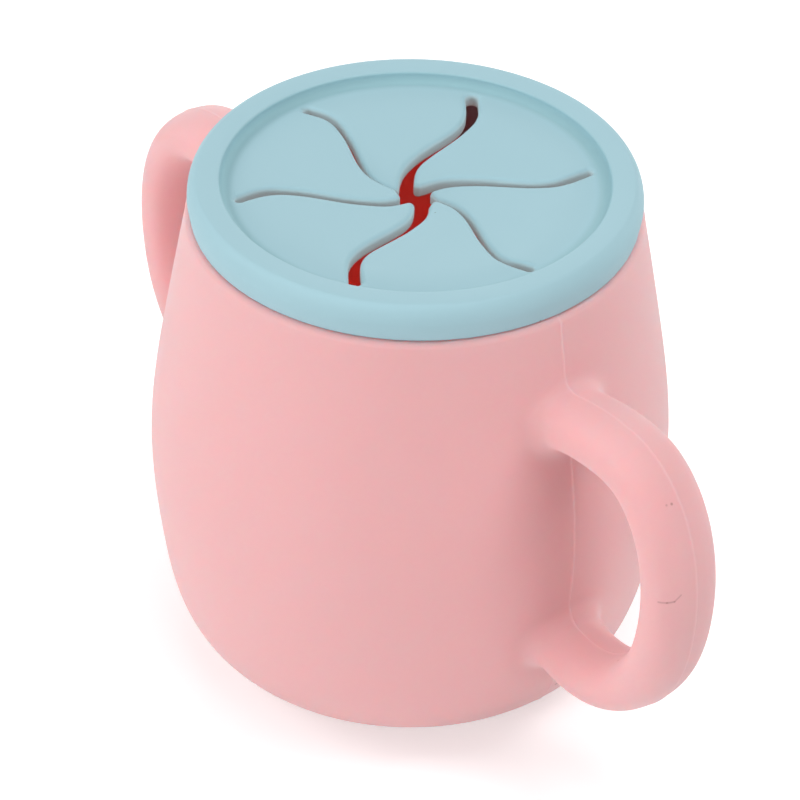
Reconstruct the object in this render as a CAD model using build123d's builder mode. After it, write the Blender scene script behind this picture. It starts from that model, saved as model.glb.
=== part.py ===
from build123d import *
import os
from math import cos, radians, sin

# A two-handled silicone snack cup with a slit lid. Millimetres, +Z up, handles along X.
# The origin is the middle of the base, on the surface that the cup stands on.

# Lid: a rim ring that caps the cup's rim, round a thin sunk web
lid_radius = 39.0
skirt_height = 6.9
skirt_wall = 2.2
skirt_tuck = 0.8
lid_shoulder_width = 1.7
lid_shoulder_drop = 3.6
roof_thickness = 3.0
crest_width = 4.6
crest_round = 1.0
sink_slope = 1.6
sink_round = 1.0
sink_depth = 2.2
web_thickness = 2.0
plug_wall = 1.8
plug_depth = 6.2

# Outside of the cup: its radius at each named level, and each level's rise from the one below
foot_radius = 28.0
heel_radius = 37.8
heel_rise = 5.4
hip_radius = 44.3
hip_rise = 18.2
belly_radius = 45.8
belly_rise = 22.9
waist_radius = 43.6
waist_rise = 18.5
shoulder_overhang = 0.3
shoulder_rise = 24.4
shoulder_round = 0.7

# Wall, floor and the shallow recess under the base
cup_wall = 2.8
floor_thickness = 3.2
foot_rim_width = 7.0
foot_recess_depth = 0.8

# Fit of the lid on the cup
shoulder_gap = 0.3
roof_gap = 0.15
skirt_clearance = 0.1
plug_clearance = 0.15
seal_bead_height = 0.5
seal_bead_width = 2.0
rim_wall = 2.2

# Slits: each one is an S from near the middle of the lid to its round end by the plug.
# The S swings to one side, crosses over and swings back at these shares of its end's radius.
slit_count = 6
slit_phase = 3.1
slit_gap = 1.5
slit_margin = 1.55
outer_swing = 2.15
outer_swing_share = 0.8
crossing_share = 0.52
inner_swing = 2.6
inner_swing_share = 0.21
tip_swing = 2.0
tip_radius = 2.5
tip_round = 0.7

# Flaps between the slits, which sag towards the middle and bend at the web's edge
flap_sag = 5.5
flap_clearance = 0.08

# Handles: the section, the finger gap beside the belly, and the levels of the centreline's
# points, counted up from the belly's widest level
handle_thickness = 9.5
handle_width = 13.6
finger_gap = 21.8
handle_middle_level = 5.5
handle_bend_inset = 5.05
upper_bend_level = 21.9
lower_bend_level = -13.9
crest_out = 9.2
crest_level = 27.0
under_out = 11.7
under_level = -22.1
low_out = 1.7
low_level = -22.7

# Handle roots: wider than the handle over a share of its length, and sunk in the cup's wall
root_thickness = 15.0
root_width = 19.5
root_blend = 0.18
root_depth = 5.0
upper_root_level = 24.0
lower_root_level = -20.4
handle_steps = 24

# How near an edge's radius has to be to count as the one looked for, and a quarter circle
same_radius = 0.01
quarter_turn = 90

# Sizes that follow from the ones above
heel_height = heel_rise
hip_height = heel_height + hip_rise
belly_height = hip_height + belly_rise
waist_height = belly_height + waist_rise
shoulder_height = waist_height + shoulder_rise
shoulder_radius = lid_radius + shoulder_overhang
lid_base = shoulder_height + shoulder_gap
lid_top = lid_base + skirt_height
crest_radius = lid_radius - crest_width
sink_radius = crest_radius - sink_slope
skirt_bore = lid_radius - skirt_wall
bead_radius = skirt_bore - skirt_clearance
neck_radius = bead_radius - seal_bead_height
rim_inner = neck_radius - rim_wall
rim_top = lid_top - roof_thickness - roof_gap
plug_radius = rim_inner - plug_clearance
plug_inner = plug_radius - plug_wall
web_top = lid_top - sink_depth
web_middle = web_top - web_thickness / 2
sector = 360 / slit_count
slit_end_radius = plug_inner - slit_margin
web_opening = slit_end_radius * cos(radians(sector / 2)) + flap_clearance
hinge_radius = web_opening - flap_clearance - web_thickness / 2
handle_out = belly_radius + finger_gap + handle_thickness / 2

# Outside of the cup from the foot up to the shoulder, X as radius and Y as height
side_points = [
    (foot_radius, 0),
    (heel_radius, heel_height),
    (hip_radius, hip_height),
    (belly_radius, belly_height),
    (waist_radius, waist_height),
    (shoulder_radius, shoulder_height),
]
side = Spline(*side_points)
hollow_shares = (0.12, 0.2, 0.35, 0.55, 0.75, 0.9)


def side_radius(level):
    """The cup's outside radius at a level counted up from the belly's widest level."""
    height = belly_height + level
    return side.intersect(Line((0, height), (handle_out, height)))[0].X


def wall_point(share):
    """A point on the inside of the wall, cup_wall in from the side at a share of its length."""
    along = side % share
    outside = side @ share
    return (outside.X - cup_wall * along.Y, outside.Y + cup_wall * along.X)


# Solid outside of the cup, which the handles' roots are cut to
with BuildPart() as cup_outside:
    with BuildSketch(Plane.YZ):
        with BuildLine():
            add(side)
            Polyline(side @ 1, (0, shoulder_height), (0, 0), side @ 0)
        make_face()
    revolve(axis=Axis.Z)

# Cup body: belly, shoulder, neck with its seal bead, rim, hollow and base recess
with BuildPart() as cup_body:
    add(cup_outside.part)
    shoulder_edge = cup_body.edges().filter_by(GeomType.CIRCLE).sort_by(Axis.Z)[-1]
    fillet(shoulder_edge, radius=shoulder_round)
    bead_height = (shoulder_height + rim_top) / 2
    bead_low = (neck_radius, bead_height - seal_bead_width / 2)
    bead_high = (neck_radius, bead_height + seal_bead_width / 2)
    with BuildSketch(Plane.YZ):
        with BuildLine():
            Polyline((0, shoulder_height), (neck_radius, shoulder_height), bead_low)
            ThreePointArc(bead_low, (bead_radius, bead_height), bead_high)
            Polyline(bead_high, (neck_radius, rim_top), (0, rim_top), (0, shoulder_height))
        make_face()
    revolve(axis=Axis.Z)
    with BuildSketch(Plane.YZ):
        with BuildLine():
            hollow = Spline(
                *[wall_point(share) for share in hollow_shares],
                (rim_inner, shoulder_height),
            )
            Polyline(
                hollow @ 1,
                (rim_inner, rim_top),
                (0, rim_top),
                (0, floor_thickness),
                (foot_radius - cup_wall, floor_thickness),
                hollow @ 0,
            )
        make_face()
    revolve(axis=Axis.Z, mode=Mode.SUBTRACT)
    with BuildSketch():
        Circle(foot_radius - foot_rim_width)
    extrude(amount=foot_recess_depth, mode=Mode.SUBTRACT)
cup_body.part.label = "cup_body"

# Handles: one loop swept round its centreline, wider where its two roots meet the cup
centreline = [
    (side_radius(upper_root_level) - root_depth, upper_root_level),
    (belly_radius + crest_out, crest_level),
    (handle_out - handle_bend_inset, upper_bend_level),
    (handle_out, handle_middle_level),
    (handle_out - handle_bend_inset, lower_bend_level),
    (belly_radius + under_out, under_level),
    (belly_radius + low_out, low_level),
    (side_radius(lower_root_level) - root_depth, lower_root_level),
]
with BuildPart() as handle_right:
    with BuildLine(Plane.XZ):
        loop = Spline(*[(out, belly_height + level) for out, level in centreline])
    for step in range(handle_steps + 1):
        share = step / handle_steps
        flare = max(0, 1 - min(share, 1 - share) / root_blend) ** 2
        across = handle_width + (root_width - handle_width) * flare
        thick = handle_thickness + (root_thickness - handle_thickness) * flare
        with BuildSketch(Plane(origin=loop @ share, x_dir=(0, 1, 0), z_dir=loop % share)):
            Ellipse(across / 2, thick / 2)
    loft()
    add(cup_outside.part, mode=Mode.SUBTRACT)
handle_right.part.label = "handle_right"

with BuildPart() as handle_left:
    mirror(handle_right.part, about=Plane.YZ)
handle_left.part.label = "handle_left"

# Lid ring: skirt, rounded shoulder, sunk web with its slits' ends, and the plug in the rim
with BuildPart() as lid_ring:
    with BuildSketch(Plane.XZ):
        with BuildLine():
            shoulder_start = (lid_radius - lid_shoulder_width, lid_top)
            shoulder_end = (lid_radius, lid_top - lid_shoulder_drop)
            EllipticalCenterArc(
                (lid_radius - lid_shoulder_width, lid_top - lid_shoulder_drop),
                lid_shoulder_width,
                lid_shoulder_drop,
                start_angle=0,
                arc_size=quarter_turn,
            )
            Polyline(
                shoulder_end,
                (lid_radius - skirt_tuck, lid_base),
                (skirt_bore, lid_base),
                (skirt_bore, lid_top - roof_thickness),
                (plug_radius, lid_top - roof_thickness),
                (plug_radius, lid_top - plug_depth),
                (plug_inner, lid_top - plug_depth),
                (plug_inner, web_top - web_thickness),
                (0, web_top - web_thickness),
                (0, web_top),
                (sink_radius, web_top),
                (crest_radius, lid_top),
                shoulder_start,
            )
        make_face()
    revolve(axis=Axis.Z)
    circles = lid_ring.edges().filter_by(GeomType.CIRCLE)
    crest_edge = circles.filter_by(lambda e: abs(e.radius - crest_radius) < same_radius)
    sink_edge = circles.filter_by(lambda e: abs(e.radius - sink_radius) < same_radius)
    fillet(crest_edge, radius=crest_round)
    fillet(sink_edge, radius=sink_round)
    with BuildSketch(Plane.XY.offset(web_middle)):
        RegularPolygon(web_opening, slit_count, major_radius=False, rotation=slit_phase)
        with PolarLocations(slit_end_radius, slit_count, start_angle=slit_phase):
            Circle(slit_gap / 2)
    extrude(amount=web_thickness, both=True, mode=Mode.SUBTRACT)
lid_ring.part.label = "lid_ring"


def slit_edge(bearing, shift):
    """One side of a slit whose outer end lies at a bearing, shifted sideways by shift."""
    swings = [
        (tip_radius, tip_swing),
        (inner_swing_share * slit_end_radius, inner_swing),
        (crossing_share * slit_end_radius, 0),
        (outer_swing_share * slit_end_radius, -outer_swing),
        (slit_end_radius, 0),
        (lid_radius, outer_swing),
    ]
    cosine = cos(radians(bearing))
    sine = sin(radians(bearing))
    return Spline(*[
        (r * cosine - (swing + shift) * sine, r * sine + (swing + shift) * cosine)
        for r, swing in swings
    ])


# Flaps: one between each two slits, on a rounded root that turns in the web's opening
lid_flaps = []
for index in range(slit_count):
    bearing = slit_phase + sector * (index + 0.5)
    outward = Vector(cos(radians(bearing)), sin(radians(bearing)), 0)
    sideways = Vector(-outward.Y, outward.X, 0)
    along = outward * cos(radians(flap_sag)) + Vector(0, 0, sin(radians(flap_sag)))
    hinge = outward * hinge_radius + Vector(0, 0, web_middle)
    centre = hinge - along * hinge_radius
    with BuildPart() as lid_flap:
        with BuildSketch(Plane(centre, x_dir=along, z_dir=along.cross(sideways))) as outline:
            with BuildLine():
                near_side = slit_edge(-sector / 2, slit_gap / 2)
                far_side = slit_edge(sector / 2, -slit_gap / 2)
                Line(near_side @ 0, far_side @ 0)
                Line(near_side @ 1, far_side @ 1)
            make_face()
            fillet(outline.vertices().sort_by(Axis.X)[:2], radius=tip_round)
        extrude(amount=web_thickness / 2, both=True)
        with BuildSketch(Plane(centre, x_dir=along, z_dir=-sideways)):
            Rectangle(hinge_radius, web_thickness, align=(Align.MIN, Align.CENTER))
            with Locations((hinge_radius, 0)):
                Circle(web_thickness / 2)
        extrude(amount=lid_radius, both=True, mode=Mode.INTERSECT)
    lid_flaps.append(lid_flap)
    lid_flap.part.label = f"lid_flap_{index + 1}"

os.makedirs("parts", exist_ok=True)
for piece in (cup_body, handle_right, handle_left, lid_ring, *lid_flaps):
    export_step(piece.part, f"parts/{piece.part.label}.step")
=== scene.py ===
from itertools import combinations
from math import radians

import bmesh
import bpy
import numpy as np
from mathutils import Matrix, Vector


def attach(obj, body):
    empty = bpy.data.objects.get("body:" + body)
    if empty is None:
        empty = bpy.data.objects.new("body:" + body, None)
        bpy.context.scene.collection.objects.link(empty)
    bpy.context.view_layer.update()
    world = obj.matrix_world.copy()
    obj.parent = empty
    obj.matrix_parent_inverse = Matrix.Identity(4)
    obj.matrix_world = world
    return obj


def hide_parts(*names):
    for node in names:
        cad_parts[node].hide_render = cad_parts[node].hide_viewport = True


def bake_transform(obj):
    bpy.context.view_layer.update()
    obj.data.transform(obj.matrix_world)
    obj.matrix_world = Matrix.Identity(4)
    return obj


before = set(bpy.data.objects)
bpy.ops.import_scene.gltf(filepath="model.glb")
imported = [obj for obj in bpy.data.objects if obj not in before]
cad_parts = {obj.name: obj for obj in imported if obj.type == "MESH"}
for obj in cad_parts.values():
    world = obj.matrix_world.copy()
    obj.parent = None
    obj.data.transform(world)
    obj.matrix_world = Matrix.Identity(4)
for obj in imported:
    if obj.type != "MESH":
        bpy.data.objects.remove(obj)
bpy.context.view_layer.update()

# A two-handled silicone snack cup with a slit lid. Shapes are worked out in millimetres
# and turned into metres when a mesh is made. +Z is up and the handles lie along X.
MM = 0.001

# Edges that turn further than this show as sharp
SHARP_ANGLE = radians(55)

# Camera: its bearing, height and roll in degrees, and the point it looks at
CAMERA_AZIMUTH = 51.79
CAMERA_ELEVATION = 36.84
CAMERA_ROLL = 1.23
CAMERA_DISTANCE = 697.98
CAMERA_TARGET = (16.78, -15.60, 66.15)
CAMERA_LENS = 184.71
CAMERA_SENSOR = 36.0
CAMERA_RANGE = (0.05, 20.0)

# Lamps: how far off, how wide and aimed where, in metres, how much the white surroundings
# light, and each lamp's name, bearing and height in degrees, and power
LAMP_DISTANCE = 1.2
LAMP_SIZE = 0.6
LAMP_TARGET = (0.0, 0.0, 0.05)
AMBIENT = 0.18
LAMPS = [
    ("left", -40, 35, 3.9),
    ("front_left", 5, 10, 5.3),
    ("right", 95, 10, 2.8),
    ("high_right", 140, 60, 4.5),
    ("back_right", 185, 10, 1.6),
    ("back_left", 230, 10, 2.95),
    ("overhead", 52, 85, 3.4),
]

# Distances from the cup between which the floor's own glow rises to full white, in metres
GLOW_RISE = (0.45, 1.1)

# Outside of the cup, as radius and height
SIDE_POINTS = [(28.0, 0.0), (37.8, 5.4), (44.3, 23.6), (45.8, 46.5), (43.6, 65.0), (39.3, 89.4)]
WALL = 2.8
FLOOR_HEIGHT = 3.2
FLOOR_RADIUS = 25.2
FOOT_ROUND = 1.2
RECESS_RADIUS = 21.0
RECESS_DEPTH = 0.8
RECESS_ROUND = 0.3
SHOULDER_ROUND = 1.3
SHOULDER_TOP = 89.75
NECK_BASE = 89.4
NECK_RADIUS = 36.2
BEAD_RADIUS = 36.65
BEAD_HEIGHT = 91.4
BEAD_HALF_WIDTH = 1.0
BEAD_HALF_FLAT = 0.4
RIM_INNER = 34.0
RIM_TOP = 93.45
RIM_ROUND = 0.4

# Heights at which the side's curve ends above and starts below, and at which the even wall
# inside starts and ends
SIDE_END = 87.4
FOOT_START = 1.6
INSIDE_HIGH = 87.0
INSIDE_LOW = 12.0

# Corner between the wall inside and the floor
CORNER_TUCK = 3.2
CORNER_HEIGHT = 6.4
CORNER_ROUND = 8.0
FLOOR_ROUND = 6.0

# Radii of one more ring on the floor and on the recess, and of the discs that close both
FLOOR_RING = 12.0
RECESS_RING = 10.0
MIDDLE_RADIUS = 3.0

# Handle: half the section's width and thickness, its squareness, its centreline as distance
# out from the axis and height, and the fillet at its roots
HANDLE_HALF_WIDTH = 6.8
HANDLE_HALF_THICKNESS = 4.75
HANDLE_SQUARENESS = 2.25
HANDLE_LINE = [
    (33.0, 67.6), (39.9, 70.3), (47.2, 72.6), (55.0, 73.5), (62.2, 72.5), (67.3, 68.5),
    (70.9, 61.7), (72.35, 53.0), (71.9, 45.2), (69.8, 37.1), (66.0, 30.7), (60.5, 25.9),
    (54.2, 23.7), (48.2, 23.9), (41.9, 26.0), (35.0, 28.6),
]
ROOT_BLEND = 3.2

# Grid of distances to the handle's centreline: how far out, how high, and its step
GRID_OUT = (26.0, 84.0)
GRID_UP = (8.0, 90.0)
GRID_STEP = 0.25

# Painted red glow inside the cup, standing for the light that comes through the wall: how bright
# it is, and the heights between which it fades under the lid
INSIDE_GLOW = 0.088
GLOW_FULL = 72.0
GLOW_GONE = 85.0

# Parting line of the cup's mould: its ridge, and a painted highlight along it
PARTING_HEIGHT = 0.12
PARTING_WIDTH = 0.2
PARTING_HIGHLIGHT = 0.28
PARTING_REACH = 1.8

# Heights whose radius sets the parting line's share of the radius above and below
PARTING_HIGH = 88.0
PARTING_LOW = 8.0

# Wear: a short bent scratch on the right handle and specks, each as its two ends, its width
# and how strongly it shows
CUP_MARKS = [
    ((74.43, -6.21, 55.47), (75.49, -5.24, 55.53), 0.28, 0.32),
    ((75.49, -5.24, 55.53), (76.13, -4.19, 55.7), 0.28, 0.36),
    ((76.13, -4.19, 55.7), (76.42, -3.11, 56.76), 0.25, 0.28),
    ((70.88, -1.49, 71.51), (70.88, -1.49, 71.51), 0.35, 0.5),
    ((70.66, -2.41, 71.53), (70.66, -2.41, 71.53), 0.3, 0.3),
    ((62.17, -3.06, 32.94), (62.17, -3.06, 32.94), 0.35, 0.45),
    ((41.37, 1.43, 10.89), (41.37, 1.43, 10.89), 0.45, 0.45),
]
LID_MARKS = [((38.21, -3.49, 90.13), (38.21, -3.49, 90.13), 0.35, 0.7)]
MARK_CORE = 0.3

# Part of the side that is meshed together with the handles, and its mesh's steps
LATTICE_LOW = 11.4
LATTICE_HIGH = 84.6
LATTICE_STEP = 0.7
LATTICE_REACH = 33.0
CELL_CORNERS = [(i, j, k) for i in (0, 1) for j in (0, 1) for k in (0, 1)]
NEAR_HANDLE = radians(19.5)

# Lattice lines round a quarter of the belly, by their distance from the parting line: close
# ones, even ones up to an end, and a number of wide ones
BELLY_RADIUS = 45.0
CLOSE_LINES = [0.06, 0.19, 0.33, 0.5, 0.75, 1.1, 1.6]
EVEN_LINES_END = 15.0
WIDE_LINES_START = 15.4
WIDE_LINES = 46

# Points less than this outside the side's curve aren't evened out
ROOT_EDGE = 0.4

# Lid
LID_RADIUS = 39.0
LID_BASE = 89.83
LID_TOP = 96.6
WEB_TOP = 94.6
WEB_THICKNESS = 2.6
WEB_RADIUS = 31.95
HOLLOW_ROUND = 1.45
CREST_ROUND = 0.4
CREST_EDGE_HEIGHT = 96.4
CREST_TILT = radians(11)
CREST_TOP_RADIUS = 37.2
SHOULDER_HEIGHT = 3.6
SKIRT_TUCK = 0.55
SKIRT_BORE = 36.8
LIP_ROUND = 0.5
BORE_ROUND = 0.2
ROOF_UNDER = 93.6
ROOF_ROUND = 0.3
PLUG_RADIUS = 33.85
PLUG_BASE = 84.5
PLUG_ROUND = 0.4

# Painted glow on the slits' walls, for the light that comes through the soft web: how bright it
# is, how far inside the web's radius it fades, and the steepness at which it starts and is gone
WALL_GLOW = 0.1
WALL_FADE = (0.8, 0.3)
WALL_UPWARD = (0.3, 0.85)

# Painted shade darkens the hollow inside the crest: the radii between which it starts, is full and
# ends, and how strong it is
HOLLOW_SHADE_RADII = (30.6, 32.5, 33.1, 33.8)
HOLLOW_SHADE = 0.5

# Slits: their number, the first one's bearing, their line as distance out and aside, and its
# end. Roundings of a flap's tip and of the web's edges above and below. The seam is the
# circle where the flaps meet the ring
SLIT_COUNT = 6
SLIT_PHASE = 3.1
SLIT_POINTS = [(2.5, 2.2), (6.4, 3.0), (15.9, 0.2), (24.4, -2.05), (30.5, 0.0), (39.0, 2.15)]
SLIT_END = 30.2
TIP_ROUND = 0.9
EDGE_ROUND = 0.9
UNDER_ROUND = 0.5
SEAM_RADIUS = 29.0
HINGE_RADIUS = 25.41

# The soft lid is squeezed across the handles, which narrows some slits and opens two of
# them, most at their ends. Each slit is shifted aside by its own amounts at its inner end, in
# its middle and at its outer end, and each flap sags by its own angle
SLIT_HALF_GAP = 0.6
END_HALF_GAP = 0.75
CENTRE_SPREADS = (0.0, 0.0, 0.6, 0.0, 0.0, 0.6)
END_SPREADS = (0.0, 0.0, 0.35, 0.0, 0.0, 0.3)
GAP_SQUEEZE = 0.15
SLIT_SHIFTS = [
    (0.1, 0.0, -0.95),
    (0.65, 0.1, -0.15),
    (0.35, 0.5, 0.25),
    (-0.05, 0.15, -0.9),
    (0.35, -0.4, -1.0),
    (-0.15, -0.35, 0.1),
]
FLAP_SAGS = (6.4, 5.6, 4.2, 1.3, 1.8, 4.6)
SAG_SOFTNESS = 3.0
SAG_HELD = 24.0

# Distances out along a slit between which these end: the shift and the width of its inner
# end, the middle's shift and width, and the squeeze
INNER_SHIFT = (4.0, 10.0)
INNER_WIDTH = (3.5, 10.0)
OUTER_SHIFT = (20.0, 28.0)
OUTER_WIDTH = (20.0, 27.0)
OUTER_SQUEEZE = (26.0, 30.0)


def linear(red, green, blue):
    """A colour written as it looks on screen, from 0 to 255, as the shader wants it."""
    channels = np.array([red, green, blue]) / 255
    low = channels / 12.92
    high = ((channels + 0.055) / 1.055) ** 2.4
    return (*np.where(channels <= 0.04045, low, high).tolist(), 1.0)


# Colours of the cup and the lid: the main one, its clouds, marks and dust, the painted highlight
# on the parting line and the painted shade in the hollow
CUP_COLOUR = linear(240, 188, 190)
CUP_CLOUD = linear(237, 180, 182)
CUP_DIRT = linear(158, 92, 80)
PARTING_HIGHLIGHT_COLOUR = linear(255, 214, 216)
LID_COLOUR = linear(168, 205, 215)
LID_CLOUD = linear(164, 200, 210)
LID_DIRT = linear(90, 100, 102)
HOLLOW_SHADE_COLOUR = linear(128, 172, 178)

# Colours of the painted glow that stands for light coming out of the cup's wall and the slits'
# walls
INSIDE_GLOW_COLOUR = (1.0, 0.07, 0.045, 1)
WALL_GLOW_COLOUR = (1.0, 0.75, 0.6, 1)

# How far red, green and blue light go into the pink silicone, in metres
LIGHT_DEPTHS = (0.0022, 0.0009, 0.0007)

# Silicone's surface: noise scales per metre, and how strongly each noise shows
CLOUD_SCALE = 38.0
CLOUD_STRENGTH = 0.35
DUST_SCALE = 110.0
DUST_RARITY = 0.8
DUST_SIZE = 0.018
DUST_STRENGTH = 0.45
PATCH_SCALE = 160.0
PATCH_DEPTH = 0.12
ROUGHNESS = 0.56
SHINE = 0.25
SHEEN = 0.04
SHEEN_ROUGHNESS = 0.6
TOOTH_SCALE = 2600.0
TOOTH_STRENGTH = 0.12
TOOTH_DEPTH = 0.08
WAVE_SCALE = 90.0
WAVE_STRENGTH = 0.1
WAVE_DEPTH = 0.4

# Floor: half its width in metres, its colour to the light, and its own glow to the camera
FLOOR_HALF = 3.0
FLOOR_COLOUR = (0.82, 0.82, 0.82, 1)
FLOOR_ROUGHNESS = 0.9
FLOOR_SHINE = 0.1
FLOOR_GLOW = 0.45


def ease(value, start, end):
    """From 0 at start to 1 at end, with no kink at either."""
    share = np.clip((value - start) / (end - start), 0, 1)
    return share * share * (3 - 2 * share)


def spline(points, count):
    """A natural cubic spline through points, by chord length, read at count even places."""
    points = np.array(points, float)
    knots = np.concatenate([[0], np.cumsum(np.linalg.norm(np.diff(points, axis=0), axis=1))])
    gaps = np.diff(knots)
    size = len(points)
    matrix = np.eye(size)
    right = np.zeros_like(points)
    for i in range(1, size - 1):
        matrix[i, i - 1:i + 2] = gaps[i - 1], 2 * (gaps[i - 1] + gaps[i]), gaps[i]
        slopes = (points[i + 1] - points[i]) / gaps[i] - (points[i] - points[i - 1]) / gaps[i - 1]
        right[i] = 6 * slopes
    bends = np.linalg.solve(matrix, right)
    places = np.linspace(0, knots[-1], count)
    span = np.clip(np.searchsorted(knots, places) - 1, 0, size - 2)
    width = gaps[span][:, None]
    before = (places - knots[span])[:, None]
    after = (knots[span + 1] - places)[:, None]
    return (
        (bends[span] * after ** 3 + bends[span + 1] * before ** 3) / (6 * width)
        + (points[span] / width - bends[span] * width / 6) * after
        + (points[span + 1] / width - bends[span + 1] * width / 6) * before
    )


class Patches:
    """Grids of points gathered into one mesh, whose shared edges are welded at the end."""

    def __init__(self):
        self.points = []
        self.faces = []
        self.count = 0

    def add(self, points, faces):
        self.points.append(np.asarray(points, float))
        self.faces.extend((np.asarray(faces) + self.count).tolist())
        self.count += len(points)

    def grid(self, points, closed=False):
        """points has rows, columns and x, y, z; closed joins the last column to the first."""
        rows, columns = points.shape[:2]
        index = np.arange(rows * columns).reshape(rows, columns)
        if closed:
            index = np.hstack([index, index[:, :1]])
        quads = np.stack([index[:-1, :-1], index[:-1, 1:], index[1:, 1:], index[1:, :-1]], -1)
        self.add(points.reshape(-1, 3), quads.reshape(-1, 4))

    def disc(self, ring):
        """A ring of points filled to its middle."""
        count = len(ring)
        middle = ring.mean(axis=0)
        following = np.roll(np.arange(count), -1)
        fans = np.stack([np.arange(count), following, np.full(count, count)], -1)
        self.add(np.vstack([ring, middle]), fans)

    def build(self, name, material, weld=2e-6):
        mesh = bpy.data.meshes.new(name)
        mesh.from_pydata((np.vstack(self.points) * MM).tolist(), [], self.faces)
        work = bmesh.new()
        work.from_mesh(mesh)
        bmesh.ops.remove_doubles(work, verts=work.verts, dist=weld)
        bmesh.ops.dissolve_degenerate(work, edges=work.edges, dist=weld)
        bmesh.ops.recalc_face_normals(work, faces=work.faces)
        for edge in work.edges:
            edge.smooth = edge.calc_face_angle(0) < SHARP_ANGLE
        work.to_mesh(mesh)
        work.free()
        mesh.polygons.foreach_set("use_smooth", np.ones(len(mesh.polygons), bool))
        mesh.materials.append(material)
        return placed(name, mesh)


def turned(profile, bearings):
    """Rings of points: each profile point (radius, height) carried round the bearings."""
    profile = np.asarray(profile, float)
    around = np.stack([np.cos(bearings), np.sin(bearings)], -1)
    flat = profile[:, None, :1] * around[None]
    heights = np.broadcast_to(profile[:, None, 1:], flat.shape[:2] + (1,))
    return np.concatenate([flat, heights], -1)


def rounded(corners, steps=6):
    """A profile through corners (radius, height, rounding), with an arc at each rounding."""
    path = []
    for i, (x, y, rounding) in enumerate(corners):
        here = np.array([x, y], float)
        if not rounding or i in (0, len(corners) - 1):
            path.append(here)
            continue
        back = np.array(corners[i - 1][:2], float) - here
        forth = np.array(corners[i + 1][:2], float) - here
        back /= np.linalg.norm(back)
        forth /= np.linalg.norm(forth)
        half = np.arccos(np.clip(back @ forth, -1, 1)) / 2
        centre = here + (back + forth) / np.linalg.norm(back + forth) * rounding / np.sin(half)
        start = here + back * rounding / np.tan(half) - centre
        end = here + forth * rounding / np.tan(half) - centre
        for share in np.linspace(0, 1, steps + 1):
            spoke = start * (1 - share) + end * share
            path.append(centre + spoke / np.linalg.norm(spoke) * rounding)
    return np.array(path)


# Shape of the cup's side, read from its spline
side_curve = spline(SIDE_POINTS, 800)


def side_radius(height):
    return np.interp(height, side_curve[:, 1], side_curve[:, 0])


def steepness(height):
    """Length of the side per unit of height, which turns a radial distance into a true one."""
    slope = (side_radius(height + 0.25) - side_radius(height - 0.25)) / 0.5
    return np.sqrt(1 + slope ** 2)


def inner_radius(height):
    return side_radius(height) - WALL * steepness(height)


handle_curve = spline(HANDLE_LINE, 220)


def distance_to_path(points, path):
    """Least distance from each flat point to a path of straight pieces."""
    starts, along = path[:-1], np.diff(path, axis=0)
    squares = np.maximum((along ** 2).sum(1), 1e-12)
    best = np.empty(len(points))
    for part in np.array_split(np.arange(len(points)), max(1, len(points) // 2000)):
        spot = points[part][:, None]
        share = np.clip(((spot - starts) * along).sum(-1) / squares, 0, 1)
        foot = starts + share[..., None] * along
        best[part] = np.sqrt(((spot - foot) ** 2).sum(-1).min(1))
    return best


# Distances to the handle's centreline in the handles' plane, worked out once on a grid
grid_outs = np.arange(*GRID_OUT, GRID_STEP)
grid_heights = np.arange(*GRID_UP, GRID_STEP)
grid_points = np.stack(np.meshgrid(grid_outs, grid_heights, indexing="ij"), -1).reshape(-1, 2)
line_distances = distance_to_path(grid_points, handle_curve)
line_distances = line_distances.reshape(len(grid_outs), len(grid_heights))


def distance_to_line(out, height):
    """Least distance from each point to the handle's centreline, read from the grid."""
    across = np.clip((out - grid_outs[0]) / GRID_STEP, 0, len(grid_outs) - 1.001)
    up = np.clip((height - grid_heights[0]) / GRID_STEP, 0, len(grid_heights) - 1.001)
    i, j = across.astype(int), up.astype(int)
    s, t = across - i, up - j
    low = line_distances[i, j] * (1 - s) + line_distances[i + 1, j] * s
    high = line_distances[i, j + 1] * (1 - s) + line_distances[i + 1, j + 1] * s
    return low * (1 - t) + high * t


def cup_field(points):
    """About the distance from the cup's outside, handles and parting line included."""
    x, y, z = points.T
    body = (np.hypot(x, y) - side_radius(z)) / steepness(z)
    across = np.abs(y) / HANDLE_HALF_WIDTH
    through = distance_to_line(np.abs(x), z)
    level = (
        across ** HANDLE_SQUARENESS + (through / HANDLE_HALF_THICKNESS) ** HANDLE_SQUARENESS
    ) ** (1 / HANDLE_SQUARENESS)
    handle = np.hypot(y, through) * (1 - 1 / np.maximum(level, 1e-6))
    handle = np.maximum(handle, -HANDLE_HALF_THICKNESS)
    near_body = np.maximum(ROOT_BLEND - body, 0)
    near_handle = np.maximum(ROOT_BLEND - handle, 0)
    joined = np.maximum(ROOT_BLEND, np.minimum(body, handle)) - np.hypot(near_body, near_handle)
    return joined - PARTING_HEIGHT * np.exp(-(y / PARTING_WIDTH) ** 2)


def settled(points, rounds=4):
    """Points moved along the field's slope onto the surface."""
    nudge = 0.02
    for _ in range(rounds):
        value = cup_field(points)
        slope = np.stack([
            (cup_field(points + nudge * axis) - value) / nudge for axis in np.eye(3)
        ], -1)
        points = points - slope * (value / np.maximum((slope ** 2).sum(1), 0.05))[:, None]
    return points


def column_bearings():
    """Bearings of the lattice's lines, closest together at the two parting lines."""
    even = np.arange(CLOSE_LINES[-1] + LATTICE_STEP, EVEN_LINES_END, LATTICE_STEP)
    wide = np.linspace(WIDE_LINES_START, np.pi / 2 * BELLY_RADIUS, WIDE_LINES)
    quarter = np.concatenate([CLOSE_LINES, even, wide]) / BELLY_RADIUS
    half = np.concatenate([quarter, np.pi - quarter[-2::-1]])
    return np.concatenate([half, np.pi + half])


def near_handles(bearings):
    """Which bearings lie close to the plane of the handles."""
    return np.abs((bearings + np.pi / 2) % np.pi - np.pi / 2) < NEAR_HANDLE


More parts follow.
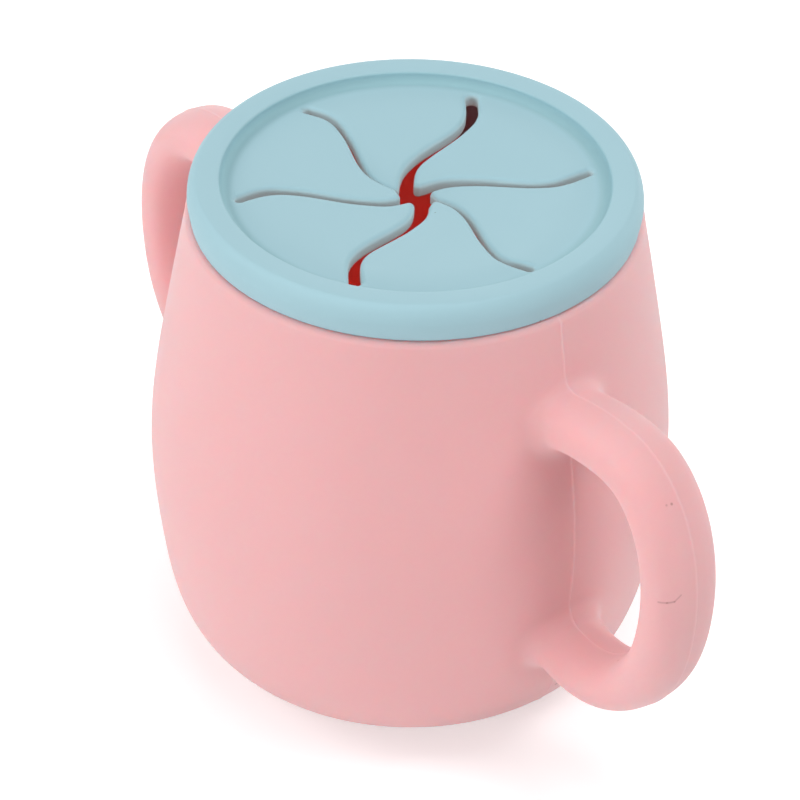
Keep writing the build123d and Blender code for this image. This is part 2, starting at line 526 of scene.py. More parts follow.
def lattice():
    """Places of the lattice's nodes round the side, and the cup's field at each."""
    bearings = column_bearings()
    heights = np.arange(LATTICE_LOW, LATTICE_HIGH + LATTICE_STEP / 2, LATTICE_STEP)
    offsets = np.arange(-LATTICE_STEP / 2, LATTICE_REACH, LATTICE_STEP)
    radii = side_radius(heights)[:, None] + offsets[None]
    nodes = np.empty((len(bearings), len(heights), len(offsets), 3))
    nodes[..., 0] = np.cos(bearings)[:, None, None] * radii
    nodes[..., 1] = np.sin(bearings)[:, None, None] * radii
    nodes[..., 2] = heights[None, :, None]
    values = offsets[None, None] / steepness(heights)[None, :, None]
    values = np.broadcast_to(values, nodes.shape[:3]).copy()
    near = near_handles(bearings)
    values[near] = cup_field(nodes[near].reshape(-1, 3)).reshape(values[near].shape)
    return nodes, values


def cell_corner(array, corner):
    """One corner of every cell of the lattice, whose bearings close on themselves."""
    i, j, k = corner
    rows, columns = array.shape[1:3]
    return np.roll(array, -i, axis=0)[:, j:j + rows - 1, k:k + columns - 1]


def crossing_points(nodes, values):
    """A point in each cell that the surface crosses, and the number of each cell's point."""
    inside = values < 0
    filled = sum(cell_corner(inside, corner).astype(int) for corner in CELL_CORNERS)
    crossed = (filled > 0) & (filled < len(CELL_CORNERS))
    index = np.full(crossed.shape, -1)
    index[crossed] = np.arange(crossed.sum())
    total = np.zeros((crossed.sum(), 3))
    hits = np.zeros(crossed.sum())
    for a, b in combinations(CELL_CORNERS, 2):
        if sum(p != q for p, q in zip(a, b)) > 1:
            continue
        low = cell_corner(values, a)[crossed]
        high = cell_corner(values, b)[crossed]
        cut = (low < 0) != (high < 0)
        share = np.where(cut, low / np.where(cut, low - high, 1), 0)[:, None]
        start = cell_corner(nodes, a)[crossed]
        end = cell_corner(nodes, b)[crossed]
        total += (start * (1 - share) + end * share) * cut[:, None]
        hits += cut
    return total / hits[:, None], index


def crossing_quads(values, index):
    """A quad for each edge of the lattice that the surface crosses."""
    inside = values < 0
    following = np.roll(inside, -1, axis=0)
    before = np.roll(index, 1, axis=0)
    crossings = [
        (inside[:, 1:-1, :-1] != inside[:, 1:-1, 1:],
         [before[:, :-1], index[:, :-1], index[:, 1:], before[:, 1:]]),
        (inside[:, :-1, 1:-1] != inside[:, 1:, 1:-1],
         [before[..., :-1], index[..., :-1], index[..., 1:], before[..., 1:]]),
        (inside[:, 1:-1, 1:-1] != following[:, 1:-1, 1:-1],
         [index[:, :-1, :-1], index[:, 1:, :-1], index[:, 1:, 1:], index[:, :-1, 1:]]),
    ]
    quads = [np.stack([cells[cut] for cells in around], -1) for cut, around in crossings]
    return np.vstack(quads)


def evened(points, quads, rounds=4):
    """Points by the handles moved onto the true surface and evened out along it."""
    free = near_handles(np.arctan2(points[:, 1], points[:, 0]))
    points[free] = settled(points[free])
    free &= np.hypot(points[:, 0], points[:, 1]) - side_radius(points[:, 2]) > ROOT_EDGE
    edges = np.vstack([quads[:, [0, 1]], quads[:, [1, 2]], quads[:, [2, 3]], quads[:, [3, 0]]])
    edges = np.vstack([edges, edges[:, ::-1]])
    for _ in range(rounds):
        mean = np.zeros_like(points)
        np.add.at(mean, edges[:, 0], points[edges[:, 1]])
        mean /= np.bincount(edges[:, 0], minlength=len(points))[:, None]
        moved = points.copy()
        moved[free, 0] = (points[free, 0] + mean[free, 0]) / 2
        moved[free, 2] = (points[free, 2] + mean[free, 2]) / 2
        moved[free] = settled(moved[free], 2)
        points = moved
    return points


def cup_lattice():
    """Mesh of the cup's side and handles: points, quads, and its lowest and highest rings."""
    nodes, values = lattice()
    points, index = crossing_points(nodes, values)
    quads = crossing_quads(values, index)
    points = evened(points, quads)
    low_ring = points[index[:, 0].max(axis=1)]
    high_ring = points[index[:, -1].max(axis=1)]
    return points, quads, low_ring, high_ring


def shoulder_profile():
    """Over the shoulder, up the neck with its bead, over the rim and down inside it."""
    return rounded([
        (side_radius(SIDE_END), SIDE_END, 0),
        (side_radius(NECK_BASE), SHOULDER_TOP, SHOULDER_ROUND),
        (NECK_RADIUS, SHOULDER_TOP, 0),
        (NECK_RADIUS, BEAD_HEIGHT - BEAD_HALF_WIDTH, 0),
        (BEAD_RADIUS, BEAD_HEIGHT - BEAD_HALF_FLAT, 0),
        (BEAD_RADIUS, BEAD_HEIGHT + BEAD_HALF_FLAT, 0),
        (NECK_RADIUS, BEAD_HEIGHT + BEAD_HALF_WIDTH, 0),
        (NECK_RADIUS, RIM_TOP, RIM_ROUND),
        (RIM_INNER, RIM_TOP, RIM_ROUND),
        (RIM_INNER, NECK_BASE, 0),
    ])


def floor_profile():
    """Round the corner inside the cup and in over its floor."""
    return rounded([
        (inner_radius(INSIDE_LOW), INSIDE_LOW, 0),
        (inner_radius(INSIDE_LOW) - CORNER_TUCK, CORNER_HEIGHT, CORNER_ROUND),
        (FLOOR_RADIUS, FLOOR_HEIGHT, FLOOR_ROUND),
        (FLOOR_RING, FLOOR_HEIGHT, 0),
        (MIDDLE_RADIUS, FLOOR_HEIGHT, 0),
    ])


def foot_profile():
    """Round the foot, under its standing ring and in over the recess."""
    return rounded([
        (side_radius(FOOT_START), FOOT_START, 0),
        (side_radius(0.0), 0.0, FOOT_ROUND),
        (RECESS_RADIUS, 0.0, RECESS_ROUND),
        (RECESS_RADIUS, RECESS_DEPTH, RECESS_ROUND),
        (RECESS_RING, RECESS_DEPTH, 0),
        (MIDDLE_RADIUS, RECESS_DEPTH, 0),
    ])


def side_profile(start, end, steps):
    """The side between two heights."""
    heights = np.linspace(start, end, steps)
    return np.stack([side_radius(heights), heights], -1)


def turned_from(patches, ring, profile, ridge, ridged_rows):
    """A profile turned on from a ring of the lattice, closed in its middle.

    The parting line's ridge, as a share of the radius, is on its first rows."""
    rings = turned(profile, np.arctan2(ring[:, 1], ring[:, 0]))
    rings[:ridged_rows, :, :2] *= 1 + ridge[None, :, None]
    patches.grid(np.concatenate([ring[None], rings]), closed=True)
    patches.disc(rings[-1])


def cup_mesh(material):
    """The whole cup moulding: side and handles from the lattice, the rest turned."""
    points, quads, low_ring, high_ring = cup_lattice()
    patches = Patches()
    patches.add(points, quads)
    ridge = PARTING_HEIGHT * np.exp(-(high_ring[:, 1] / PARTING_WIDTH) ** 2)

    side_top = side_profile(LATTICE_HIGH + 0.2, SIDE_END, 5)
    inside_heights = np.linspace(INSIDE_HIGH, INSIDE_LOW, 40)
    inside = np.stack([inner_radius(inside_heights), inside_heights], -1)
    upper = np.vstack([side_top[:-1], shoulder_profile(), inside, floor_profile()[1:]])
    turned_from(patches, high_ring, upper, ridge / side_radius(PARTING_HIGH), len(side_top) + 2)

    side_low = side_profile(LATTICE_LOW - 0.3, FOOT_START, 14)
    lower = np.vstack([side_low, foot_profile()[1:]])
    turned_from(patches, low_ring, lower, ridge / side_radius(PARTING_LOW), len(side_low))

    piece = patches.build("cup_moulding", material)
    mark_inside(piece)
    return piece


def mark_inside(piece):
    """Marks the vertices inside the cup, where light comes in only through its pink wall, for the
    painted glow that fades out under the lid.
    """
    count = len(piece.data.vertices)
    places = np.empty(count * 3)
    piece.data.vertices.foreach_get("co", places)
    x, y, z = places.reshape(-1, 3).T / MM
    middle = side_radius(z) - WALL / 2 * steepness(z)
    inside = (np.hypot(x, y) < middle) & (z > FLOOR_HEIGHT / 2)
    faded = inside * (1 - ease(z, GLOW_FULL, GLOW_GONE))
    attribute = piece.data.attributes.new("inside", "FLOAT", "POINT")
    attribute.data.foreach_set("value", faded.astype(np.float32))


# Centre line of a slit, in a frame whose x runs out along the slit's own bearing
slit_curve = spline(SLIT_POINTS, 600)


def sector_bearing(index):
    return radians(SLIT_PHASE + 360 / SLIT_COUNT * index)


def turned_flat(points, bearing):
    cosine, sine = np.cos(bearing), np.sin(bearing)
    return points @ np.array([[cosine, sine], [-sine, cosine]])


def slit_outline(index):
    """A slit in its own frame: up its clockwise side, round its outer end and back."""
    line = slit_curve[slit_curve[:, 0] <= SLIT_END - END_SPREADS[index]].copy()
    out = line[:, 0]
    start, middle, end = SLIT_SHIFTS[index]
    line[:, 1] += middle + (start - middle) * (1 - ease(out, *INNER_SHIFT))
    line[:, 1] += (end - middle) * ease(out, *OUTER_SHIFT)
    tangent = np.gradient(line, axis=0)
    tangent /= np.linalg.norm(tangent, axis=1)[:, None]
    normal = np.stack([-tangent[:, 1], tangent[:, 0]], -1)
    facing = sector_bearing(index) + np.arctan2(normal[:, 1], normal[:, 0])
    end_half = END_HALF_GAP + END_SPREADS[index]
    half = SLIT_HALF_GAP + (end_half - SLIT_HALF_GAP) * ease(out, *OUTER_WIDTH)
    half += CENTRE_SPREADS[index] * (1 - ease(out, *INNER_WIDTH))
    half += GAP_SQUEEZE * np.cos(2 * facing) * (1 - ease(out, *OUTER_SQUEEZE))
    side = normal * half[:, None]
    turn = np.radians(np.linspace(-90, 90, 41))[:, None]
    cap = line[-1] + half[-1] * (np.cos(turn) * tangent[-1] + np.sin(turn) * normal[-1])
    return np.vstack([line - side, cap[1:-1], (line + side)[::-1]])


outlines = [slit_outline(index) for index in range(SLIT_COUNT)]
slit_paths = [turned_flat(path, sector_bearing(i)) for i, path in enumerate(outlines)]


def slit_side(index, clockwise):
    """One side of a slit in its own frame, from the middle out to its farthest point."""
    path = outlines[index % SLIT_COUNT]
    farthest = int(np.hypot(*path.T).argmax())
    return path[:farthest + 1] if clockwise else path[farthest:][::-1]


def side_bearing(edge, radius):
    """Bearing, from the slit's own, of one side of the slit, or of its end past that."""
    radii = np.hypot(*edge.T)
    rising = np.maximum.accumulate(radii) <= radii + 1e-9
    bearings = np.arctan2(edge[:, 1], edge[:, 0])
    return np.interp(radius, radii[rising], bearings[rising])


def edge_drop(distance, rounding):
    """How far a rounded edge lies below the flat at a distance from the edge."""
    inset = np.clip(rounding - distance, 0, rounding)
    return rounding - np.sqrt(rounding ** 2 - inset ** 2)


def sag(points, index):
    """How far the web lies below its rim at flat points, by the flap that they belong to."""
    bearing = sector_bearing(index + 0.5)
    along = points @ np.array([np.cos(bearing), np.sin(bearing)])
    inward = HINGE_RADIUS + SAG_SOFTNESS - along
    soft = np.clip(inward, 0, 2 * SAG_SOFTNESS) ** 2 / (4 * SAG_SOFTNESS)
    depth = soft + np.maximum(inward - 2 * SAG_SOFTNESS, 0)
    held = 1 - ease(np.hypot(*points.T), SAG_HELD, SEAM_RADIUS)
    return np.tan(radians(FLAP_SAGS[index])) * depth * held


# Columns of a sector of the web: close by its two slits, even in between, and closer where
# the sector is narrow
EDGE_STEPS = np.array([0.0, 0.03, 0.09, 0.17, 0.28, 0.42, 0.6, 0.8, 1.05])
MIDDLE_COLUMNS = 20
NARROW_SHARE = 0.3

# Rows of a flap: close by its tip, then even. Rows of the ring beside the slits' ends
TIP_STEPS = np.append(EDGE_STEPS, [1.4, 1.9])
EVEN_ROWS_START = 2.5
EVEN_ROWS = 34
RING_ROWS = 15


def column_shares(width):
    """Places of a sector's columns across a row of this width, from 0 to 1."""
    steps = EDGE_STEPS * min(1, NARROW_SHARE * width / EDGE_STEPS[-1])
    near = steps / width
    middle = np.linspace(near[-1], 1 - near[-1], MIDDLE_COLUMNS + 2)[1:-1]
    return np.concatenate([near, middle, 1 - near[::-1]])


def web_solid(patches, flat, index, paths, rims):
    """Top, underside and rims over a grid of flat points, rounded along the slits' paths."""
    rows, columns = flat.shape[:2]
    points = flat.reshape(-1, 2)
    distance = np.min([distance_to_path(points, path) for path in paths], axis=0)
    low = sag(points, index)
    top = WEB_TOP - low - edge_drop(distance, EDGE_ROUND)
    under = WEB_TOP - WEB_THICKNESS - low + edge_drop(distance, UNDER_ROUND)
    upper = np.column_stack([points, top]).reshape(rows, columns, 3)
    lower = np.column_stack([points, under]).reshape(rows, columns, 3)
    patches.grid(upper)
    patches.grid(lower)
    for rim in rims:
        levels = np.linspace(0, 1, 4)[:, None, None]
        patches.grid(upper[rim][None] * (1 - levels) + lower[rim][None] * levels)


def sector_row(index, radius):
    """Flat points across a sector at a radius, and their bearings."""
    first = sector_bearing(index) + side_bearing(slit_side(index, False), radius)
    last = sector_bearing(index + 1) + side_bearing(slit_side(index + 1, True), radius)
    bearings = first + (last - first) * column_shares((last - first) * radius)
    return np.stack([np.cos(bearings), np.sin(bearings)], -1) * radius, bearings


def hollow_profile():
    """Up out of the web through the hollow, and over the rounded rim inside the crest."""
    rise = CREST_EDGE_HEIGHT - WEB_TOP
    both = HOLLOW_ROUND + CREST_ROUND
    steepest = np.pi - np.arcsin((HOLLOW_ROUND + CREST_ROUND * np.cos(CREST_TILT) - rise) / both)
    turn = np.linspace(np.pi / 2, steepest, 12)
    hollow = np.stack([
        WEB_RADIUS - HOLLOW_ROUND * np.cos(turn),
        WEB_TOP + HOLLOW_ROUND - HOLLOW_ROUND * np.sin(turn),
    ], -1)
    centre_radius = WEB_RADIUS - both * np.cos(steepest)
    centre_height = WEB_TOP + HOLLOW_ROUND - both * np.sin(steepest)
    turn = np.linspace(steepest, np.pi / 2 + CREST_TILT, 10)[1:]
    inner_rim = np.stack([
        centre_radius + CREST_ROUND * np.cos(turn),
        centre_height + CREST_ROUND * np.sin(turn),
    ], -1)
    return np.vstack([hollow, inner_rim])


def skirt_profile():
    """Down the lid's side, round its lip, up the bore, and round the plug to the web."""
    return rounded([
        (LID_RADIUS, LID_TOP - SHOULDER_HEIGHT, 0),
        (LID_RADIUS - SKIRT_TUCK, LID_BASE, LIP_ROUND),
        (SKIRT_BORE, LID_BASE, BORE_ROUND),
        (SKIRT_BORE, ROOF_UNDER, ROOF_ROUND),
        (PLUG_RADIUS, ROOF_UNDER, ROOF_ROUND),
        (PLUG_RADIUS, PLUG_BASE, PLUG_ROUND),
        (WEB_RADIUS, PLUG_BASE, PLUG_ROUND),
        (WEB_RADIUS, WEB_TOP - WEB_THICKNESS, 0),
    ])


def crest_profile():
    """Across the lid's ring, from the web over the crest, down the side and under."""
    inner = hollow_profile()
    start_radius, start_height = inner[-1]
    share = np.linspace(0, 1, 8)[1:]
    crest = np.stack([
        start_radius + (CREST_TOP_RADIUS - start_radius) * share,
        LID_TOP - (LID_TOP - start_height) * (1 - share) ** 2,
    ], -1)
    quarter = np.radians(np.linspace(90, 0, 16))[1:]
    shoulder = np.stack([
        CREST_TOP_RADIUS + (LID_RADIUS - CREST_TOP_RADIUS) * np.cos(quarter),
        LID_TOP - SHOULDER_HEIGHT + SHOULDER_HEIGHT * np.sin(quarter),
    ], -1)
    return np.vstack([inner, crest, shoulder, skirt_profile()[1:]])


def ring_sector(patches, index):
    """The web between two slits, from the seam circle out past the slits' ends."""
    first, last = slit_side(index, False), slit_side(index + 1, True)
    ends = np.array([np.hypot(*first[-1]), np.hypot(*last[-1])])
    reach = np.linspace(1, 0, RING_ROWS) ** 2
    beyond = EDGE_STEPS[1:] * EDGE_ROUND / EDGE_STEPS[-1]
    rows = [between_slits(index, ends - (ends - SEAM_RADIUS) * share) for share in reach]
    rows += [between_slits(index, ends + further) for further in beyond]
    rows.append(sector_row(index, WEB_RADIUS)[0])
    slit_rows = slice(0, RING_ROWS)
    rims = [(slit_rows, 0), (slit_rows, -1), (0, slice(None))]
    paths = [slit_paths[index], slit_paths[(index + 1) % SLIT_COUNT]]
    web_solid(patches, np.stack(rows), index, paths, rims)


def lid_ring_mesh(material):
    """The lid outside the flaps: the web's edge with the slits' ends, and the turned ring."""
    patches = Patches()
    for index in range(SLIT_COUNT):
        ring_sector(patches, index)
    bearings = [sector_row(index, WEB_RADIUS)[1][:-1] for index in range(SLIT_COUNT)]
    patches.grid(turned(crest_profile(), np.concatenate(bearings)), closed=True)
    return patches.build("lid_rim", material)


def between_slits(index, radii):
    """A row across a sector whose two ends may lie at slightly different radii."""
    inner, outer = sector_row(index, radii[0])[0], sector_row(index, radii[1])[0]
    share = np.linspace(0, 1, len(inner))[:, None]
    return inner * (1 - share) + outer * share


def lengths_along(path):
    """Length of a path up to each of its points."""
    return np.concatenate([[0], np.cumsum(np.hypot(*np.diff(path, axis=0).T))])


def tip_corner(edge, inward):
    """The arc that rounds a corner of a flap's blunt tip, and the side past it."""
    spot = edge[0]
    lengths = lengths_along(edge)
    out = edge[np.searchsorted(lengths, TIP_ROUND / 2)] - spot
    out /= np.linalg.norm(out)
    half = np.arccos(np.clip(out @ inward, -1, 1)) / 2
    reach = TIP_ROUND / np.tan(half)
    centre = spot + (out + inward) / np.linalg.norm(out + inward) * TIP_ROUND / np.sin(half)
    start, end = spot + inward * reach - centre, spot + out * reach - centre
    share = np.linspace(0, 1, 13)[:, None]
    spokes = start * (1 - share) + end * share
    arc = centre + spokes / np.linalg.norm(spokes, axis=1)[:, None] * TIP_ROUND
    return arc, edge[lengths > reach + 0.05]


def flap_border(index):
    """A flap's two sides inside the seam, each with the arc at its corner of the blunt tip."""
    first = turned_flat(slit_side(index, False), sector_bearing(index))
    last = turned_flat(slit_side(index + 1, True), sector_bearing(index + 1))
    first = first[np.hypot(*first.T) < SEAM_RADIUS]
    last = last[np.hypot(*last.T) < SEAM_RADIUS]
    tip = (last[0] - first[0]) / np.linalg.norm(last[0] - first[0])
    return tip_corner(first, tip), tip_corner(last, -tip)


def along(path, places):
    """Points of a path at shares of its length."""
    lengths = lengths_along(path)
    return np.stack([np.interp(places * lengths[-1], lengths, path[:, n]) for n in (0, 1)], -1)


def flap_rows(near_line, far_line, tip, seam, places):
    """Rows of flat points that fill a flap between its two sides, its tip and its seam."""
    seam_shares = column_shares(np.linalg.norm(seam[-1] - seam[0]))
    rows = []
    for place, start, end in zip(places[:-1], near_line, far_line):
        shares = column_shares(np.linalg.norm(end - start))
        seam_points = np.stack([np.interp(shares, seam_shares, seam[:, n]) for n in (0, 1)], -1)
        across = shares[:, None]
        rows.append(
            (1 - place) * along(tip, shares) + place * seam_points
            + (1 - across) * start + across * end
            - (1 - place) * ((1 - across) * tip[0] + across * tip[-1])
            - place * ((1 - across) * seam[0] + across * seam[-1])
        )
    return np.stack(rows + [seam])


def flap_mesh(index, material):
    """One flap, from its blunt tip out to the seam circle on the web's flat edge."""
    (near_arc, near_edge), (far_arc, far_edge) = flap_border(index)
    seam, _ = sector_row(index, SEAM_RADIUS)
    half = len(near_arc) // 2
    near_side = np.vstack([near_arc[half:], near_edge, seam[:1]])
    far_side = np.vstack([far_arc[half:], far_edge, seam[-1:]])
    tip = np.vstack([near_arc[half::-1], far_arc[:half + 1]])
    length = np.hypot(*np.diff(near_side, axis=0).T).sum()
    places = np.append(TIP_STEPS, np.linspace(EVEN_ROWS_START, length, EVEN_ROWS)) / length
    rows = flap_rows(along(near_side, places), along(far_side, places), tip, seam, places)
    border = np.vstack([seam[:1], near_edge[::-1], near_arc[::-1], far_arc, far_edge, seam[-1:]])
    patches = Patches()
    everything = slice(None)
    rims = [(everything, 0), (everything, -1), (0, everything), (-1, everything)]
    web_solid(patches, rows, index, [border], rims)
    return patches.build(f"flap_{index + 1}", material)


def feed(tree, socket, value):
    """Sets a socket to a value, or links it where the value is another socket."""
    if isinstance(value, bpy.types.NodeSocket):
        tree.links.new(value, socket)
    else:
        socket.default_value = value


def feed_named(tree, made, inputs):
    """Feeds a node's inputs by name, with underscores for spaces."""
    for name, value in inputs.items():
        feed(tree, made.inputs[name.replace("_", " ")], value)


def shade(tree, **inputs):
    """Feeds the inputs of a material's shader."""
    feed_named(tree, tree.nodes["Principled BSDF"], inputs)


def node(tree, kind, **inputs):
    """A new shader node with its inputs fed."""
    made = tree.nodes.new(kind)
    feed_named(tree, made, inputs)
    return made


def calculated(tree, kind, operation, values):
    """What a node makes of values by an operation."""
    made = tree.nodes.new(kind)
    made.operation = operation
    for socket, value in zip(made.inputs, values):
        feed(tree, socket, value)
    return made.outputs


def maths(tree, operation, *values):
    """A calculation with numbers."""
    return calculated(tree, "ShaderNodeMath", operation, values)[0]


def mixed(tree, share, first, second):
    """One colour over another by a share."""
    made = tree.nodes.new("ShaderNodeMix")
    made.data_type = "RGBA"
    for number, value in ((0, share), (6, first), (7, second)):
        feed(tree, made.inputs[number], value)
    return made.outputs[2]


def vector_maths(tree, operation, *values):
    """A calculation with vectors."""
    outputs = calculated(tree, "ShaderNodeVectorMath", operation, values)
    return outputs["Value" if operation in ("DOT_PRODUCT", "LENGTH") else "Vector"]


def fall_off(tree, distance, full, gone, strength):
    """From strength where distance is under full, down to 0 where it is over gone."""
    ends = {"From_Min": full, "From_Max": gone, "To_Min": strength, "To_Max": 0.0}
    made = node(tree, "ShaderNodeMapRange", Value=distance, **ends)
    made.interpolation_type = "SMOOTHSTEP"
    return made.outputs[0]


def parting_highlight_share(tree, place):
    """How much painted highlight shows along the parting line: most on the plane of the handles.
    """
    split = node(tree, "ShaderNodeSeparateXYZ", Vector=place)
    distance = maths(tree, "ABSOLUTE", split.outputs["Y"])
    return fall_off(tree, distance, 0.0, PARTING_WIDTH * PARTING_REACH * MM, PARTING_HIGHLIGHT)


def mark_share(tree, place, start, end, width, strength):
    """How much a mark between two points shows."""
    start, end = Vector(start) * MM, Vector(end) * MM
    along = end - start
    offset = vector_maths(tree, "SUBTRACT", place, start)
    if along.length > 0:
        share = vector_maths(tree, "DOT_PRODUCT", offset, along / along.length_squared)
        clamped = maths(tree, "MINIMUM", maths(tree, "MAXIMUM", share, 0.0), 1.0)
        scaled = node(tree, "ShaderNodeVectorMath")
        scaled.operation = "SCALE"
        scaled.inputs[0].default_value = along
        tree.links.new(clamped, scaled.inputs["Scale"])
        offset = vector_maths(tree, "SUBTRACT", offset, scaled.outputs["Vector"])
    distance = vector_maths(tree, "LENGTH", offset)
    return fall_off(tree, distance, width * MARK_CORE * MM, width * MM, strength)


def seen_directly(tree):
    """1 where the camera, a reflection or glass shows a surface, and 0 where it lights."""
    path = tree.nodes.new("ShaderNodeLightPath")
    seen = maths(tree, "MAXIMUM", path.outputs["Is Camera Ray"], path.outputs["Is Glossy Ray"])
    return maths(tree, "MAXIMUM", seen, path.outputs["Is Transmission Ray"])


def axis_distance(tree, place):
    """Distance from the upright axis."""
    split = node(tree, "ShaderNodeSeparateXYZ", Vector=place)
    flat = node(tree, "ShaderNodeCombineXYZ", X=split.outputs["X"], Y=split.outputs["Y"])
    return vector_maths(tree, "LENGTH", flat.outputs[0])


def hollow_shade_share(tree, place):
    """How much painted shade darkens the hollow inside the lid's crest."""
    distance = axis_distance(tree, place)
    start, full, fading, end = (radius * MM for radius in HOLLOW_SHADE_RADII)
    inner = fall_off(tree, distance, full, start, 1.0)
    outer = fall_off(tree, distance, fading, end, HOLLOW_SHADE)
    return maths(tree, "MULTIPLY", inner, outer)


def wall_glow_share(tree, place):
    """How much painted glow shows on the slits' walls: most where the lid's middle faces sideways.
    """
    distance = axis_distance(tree, place)
    fading, gone = ((WEB_RADIUS - inset) * MM for inset in WALL_FADE)
    middle = fall_off(tree, distance, fading, gone, 1.0)
    normal = tree.nodes.new("ShaderNodeTexCoord").outputs["Normal"]
    upward = node(tree, "ShaderNodeSeparateXYZ", Vector=normal).outputs["Z"]
    sideways = fall_off(tree, maths(tree, "ABSOLUTE", upward), *WALL_UPWARD, WALL_GLOW)
    return maths(tree, "MULTIPLY", middle, sideways)


def clouded(tree, place, colour, darker):
    """A colour with faint darker clouds."""
    cloud = node(tree, "ShaderNodeTexNoise", Vector=place, Scale=CLOUD_SCALE, Detail=3.0)
    share = maths(tree, "MULTIPLY", cloud.outputs["Fac"], CLOUD_STRENGTH)
    return mixed(tree, share, colour, darker)


def dust_share(tree, place):
    """Where a few small specks of dust show."""
    dust = node(tree, "ShaderNodeTexVoronoi", Vector=place, Scale=DUST_SCALE)
    wanted = maths(tree, "GREATER_THAN", dust.outputs["Color"], DUST_RARITY)
    small = maths(tree, "LESS_THAN", dust.outputs["Distance"], DUST_SIZE)
    return maths(tree, "MULTIPLY", maths(tree, "MULTIPLY", wanted, small), DUST_STRENGTH)


def worn(tree, place, base, marks, mark_colour):
    """A base colour with its scratches and specks over it."""
    for start, end, width, strength in marks:
        share = mark_share(tree, place, start, end, width, strength)
        base = mixed(tree, share, base, mark_colour)
    return base


def matte(tree, place):
    """A dull, slightly patchy sheen."""
    patchy = node(tree, "ShaderNodeTexNoise", Vector=place, Scale=PATCH_SCALE, Detail=4.0)
    rough = maths(tree, "MULTIPLY_ADD", patchy.outputs["Fac"], PATCH_DEPTH, ROUGHNESS)
    shade(tree, Roughness=rough, Specular_IOR_Level=SHINE)
    shade(tree, Sheen_Weight=SHEEN, Sheen_Roughness=SHEEN_ROUGHNESS)


def bump(tree, place, scale, detail, strength, depth, **inputs):
    """The slope that a noise gives to a surface."""
    noise = node(tree, "ShaderNodeTexNoise", Vector=place, Scale=scale, Detail=detail)
    inputs.update(Height=noise.outputs["Fac"], Strength=strength, Distance=depth * MM)
    return node(tree, "ShaderNodeBump", **inputs).outputs[0]


def uneven(tree, place):
    """The mould's fine tooth, and faint waves in the soft surface."""
    fine = bump(tree, place, TOOTH_SCALE, 2.0, TOOTH_STRENGTH, TOOTH_DEPTH)
    broad = bump(tree, place, WAVE_SCALE, 1.0, WAVE_STRENGTH, WAVE_DEPTH, Normal=fine)
    shade(tree, Normal=broad)


def new_material(name):
    """A material, its node tree and its texture space."""
    material = bpy.data.materials.new(name)
    material.use_nodes = True
    tree = material.node_tree
    return material, tree, tree.nodes.new("ShaderNodeTexCoord").outputs["Object"]


def cup_silicone():
    """Pink silicone, which light goes into and through, with a painted highlight along its parting
    line and a painted red glow inside.
    """
    material, tree, place = new_material("pink_silicone")
    base = clouded(tree, place, CUP_COLOUR, CUP_CLOUD)
    base = mixed(tree, dust_share(tree, place), base, CUP_DIRT)
    # Painted highlight along the parting line
    base = mixed(tree, parting_highlight_share(tree, place), base, PARTING_HIGHLIGHT_COLOUR)
    shade(tree, Base_Color=worn(tree, place, base, CUP_MARKS, CUP_DIRT))
    matte(tree, place)
    uneven(tree, place)
    shade(tree, Subsurface_Weight=1.0, Subsurface_Radius=LIGHT_DEPTHS, Subsurface_Scale=1.0)
    # Painted red glow inside the cup, for the light that comes through its wall
    inside = tree.nodes.new("ShaderNodeAttribute")
    inside.attribute_name = "inside"
    glow = maths(tree, "MULTIPLY", inside.outputs["Fac"], INSIDE_GLOW)
    shade(tree, Emission_Color=INSIDE_GLOW_COLOUR, Emission_Strength=glow)
    return material


def lid_silicone():
    """Pale blue silicone, with painted shade in the hollow and a painted glow on the slits' walls.
    """
    material, tree, place = new_material("blue_silicone")
    base = clouded(tree, place, LID_COLOUR, LID_CLOUD)
    base = mixed(tree, dust_share(tree, place), base, LID_DIRT)
    # Painted shade in the hollow inside the crest
    base = mixed(tree, hollow_shade_share(tree, place), base, HOLLOW_SHADE_COLOUR)
    shade(tree, Base_Color=worn(tree, place, base, LID_MARKS, LID_DIRT))
    matte(tree, place)
    uneven(tree, place)
    # Painted glow on the slits' walls, for the light that comes through the web
    shade(tree, Emission_Color=WALL_GLOW_COLOUR, Emission_Strength=wall_glow_share(tree, place))
    return material


def stage_material(name):
    """White to the camera and in reflections, and a plain pale surface to the light.

    The glow rises away from the cup, where the lamps don't reach."""
    material, tree, place = new_material(name)
    shade(tree, Base_Color=FLOOR_COLOUR, Roughness=FLOOR_ROUGHNESS)
    shade(tree, Specular_IOR_Level=FLOOR_SHINE)
    distance = vector_maths(tree, "LENGTH", place)
    missing = fall_off(tree, distance, GLOW_RISE[1], GLOW_RISE[0], 1 - FLOOR_GLOW)
    glow = maths(tree, "ADD", missing, FLOOR_GLOW)
    strength = maths(tree, "MULTIPLY", seen_directly(tree), glow)
    shade(tree, Emission_Color=(1, 1, 1, 1), Emission_Strength=strength)
    return material


def placed(name, data):
    """A new object in the scene."""
    made = bpy.data.objects.new(name, data)
    bpy.context.scene.collection.objects.link(made)
    return made


def outward(azimuth, elevation):
    """Direction from the cup to a bearing and a height, both in degrees."""
    a, e = radians(azimuth), radians(elevation)
    return Vector((np.sin(a) * np.cos(e), -np.cos(a) * np.cos(e), np.sin(e)))


def area_light(name, azimuth, elevation, power):
    """A soft round lamp at a bearing round the cup, turned to its middle."""
    lamp = bpy.data.lights.new(name, "AREA")
    lamp.shape = "DISK"
    lamp.size = LAMP_SIZE
    lamp.energy = power
    holder = placed(name, lamp)
    back = outward(azimuth, elevation)
    holder.location = Vector(LAMP_TARGET) + back * LAMP_DISTANCE
    holder.rotation_euler = back.to_track_quat("Z", "Y").to_euler()


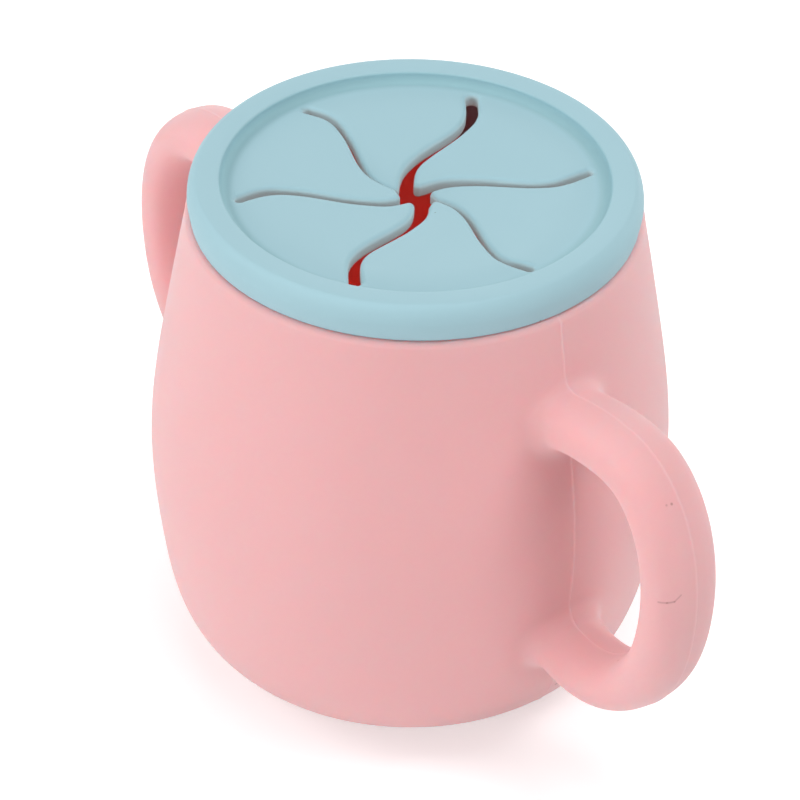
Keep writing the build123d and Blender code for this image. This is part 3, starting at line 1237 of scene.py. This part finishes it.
def make_camera():
    """The photograph's camera, level but for its roll."""
    data = bpy.data.cameras.new("camera")
    data.lens = CAMERA_LENS
    data.sensor_width = CAMERA_SENSOR
    data.clip_start, data.clip_end = CAMERA_RANGE
    camera = placed("camera", data)
    back = outward(CAMERA_AZIMUTH, CAMERA_ELEVATION)
    bearing, roll = radians(CAMERA_AZIMUTH), radians(CAMERA_ROLL)
    level = Vector((np.cos(bearing), np.sin(bearing), 0))
    upright = back.cross(level)
    right = level * np.cos(roll) + upright * np.sin(roll)
    up = back.cross(right)
    place = Vector(CAMERA_TARGET) * MM + back * CAMERA_DISTANCE * MM
    columns = Matrix((right, up, back)).transposed().to_4x4()
    camera.matrix_world = Matrix.Translation(place) @ columns
    bpy.context.scene.camera = camera


def make_floor():
    """A wide pale floor, which keeps the cup's shadow."""
    corners = [(-1, -1), (1, -1), (1, 1), (-1, 1)]
    mesh = bpy.data.meshes.new("floor")
    mesh.from_pydata([(x * FLOOR_HALF, y * FLOOR_HALF, 0) for x, y in corners], [], [(0, 1, 2, 3)])
    mesh.materials.append(stage_material("stage_white"))
    placed("floor", mesh)


def make_surroundings():
    """White to the camera and in reflections, and a soft even light on the cup."""
    world = bpy.data.worlds.new("surroundings")
    world.use_nodes = True
    bpy.context.scene.world = world
    tree = world.node_tree
    strength = maths(tree, "MULTIPLY_ADD", seen_directly(tree), 1 - AMBIENT, AMBIENT)
    feed_named(tree, tree.nodes["Background"], {"Color": (1, 1, 1, 1), "Strength": strength})


make_camera()
make_floor()
make_surroundings()
for lamp in LAMPS:
    area_light(*lamp)

pink = cup_silicone()
blue = lid_silicone()

cup = cup_mesh(pink)
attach(cup, "cup")
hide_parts("cup_body", "handle_right", "handle_left")

rim = lid_ring_mesh(blue)
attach(rim, "lid")
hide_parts("lid_ring")

for number in range(SLIT_COUNT):
    flap = flap_mesh(number, blue)
    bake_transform(flap)
    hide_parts(f"lid_flap_{number + 1}")

bpy.context.scene.view_settings.view_transform = "Standard"
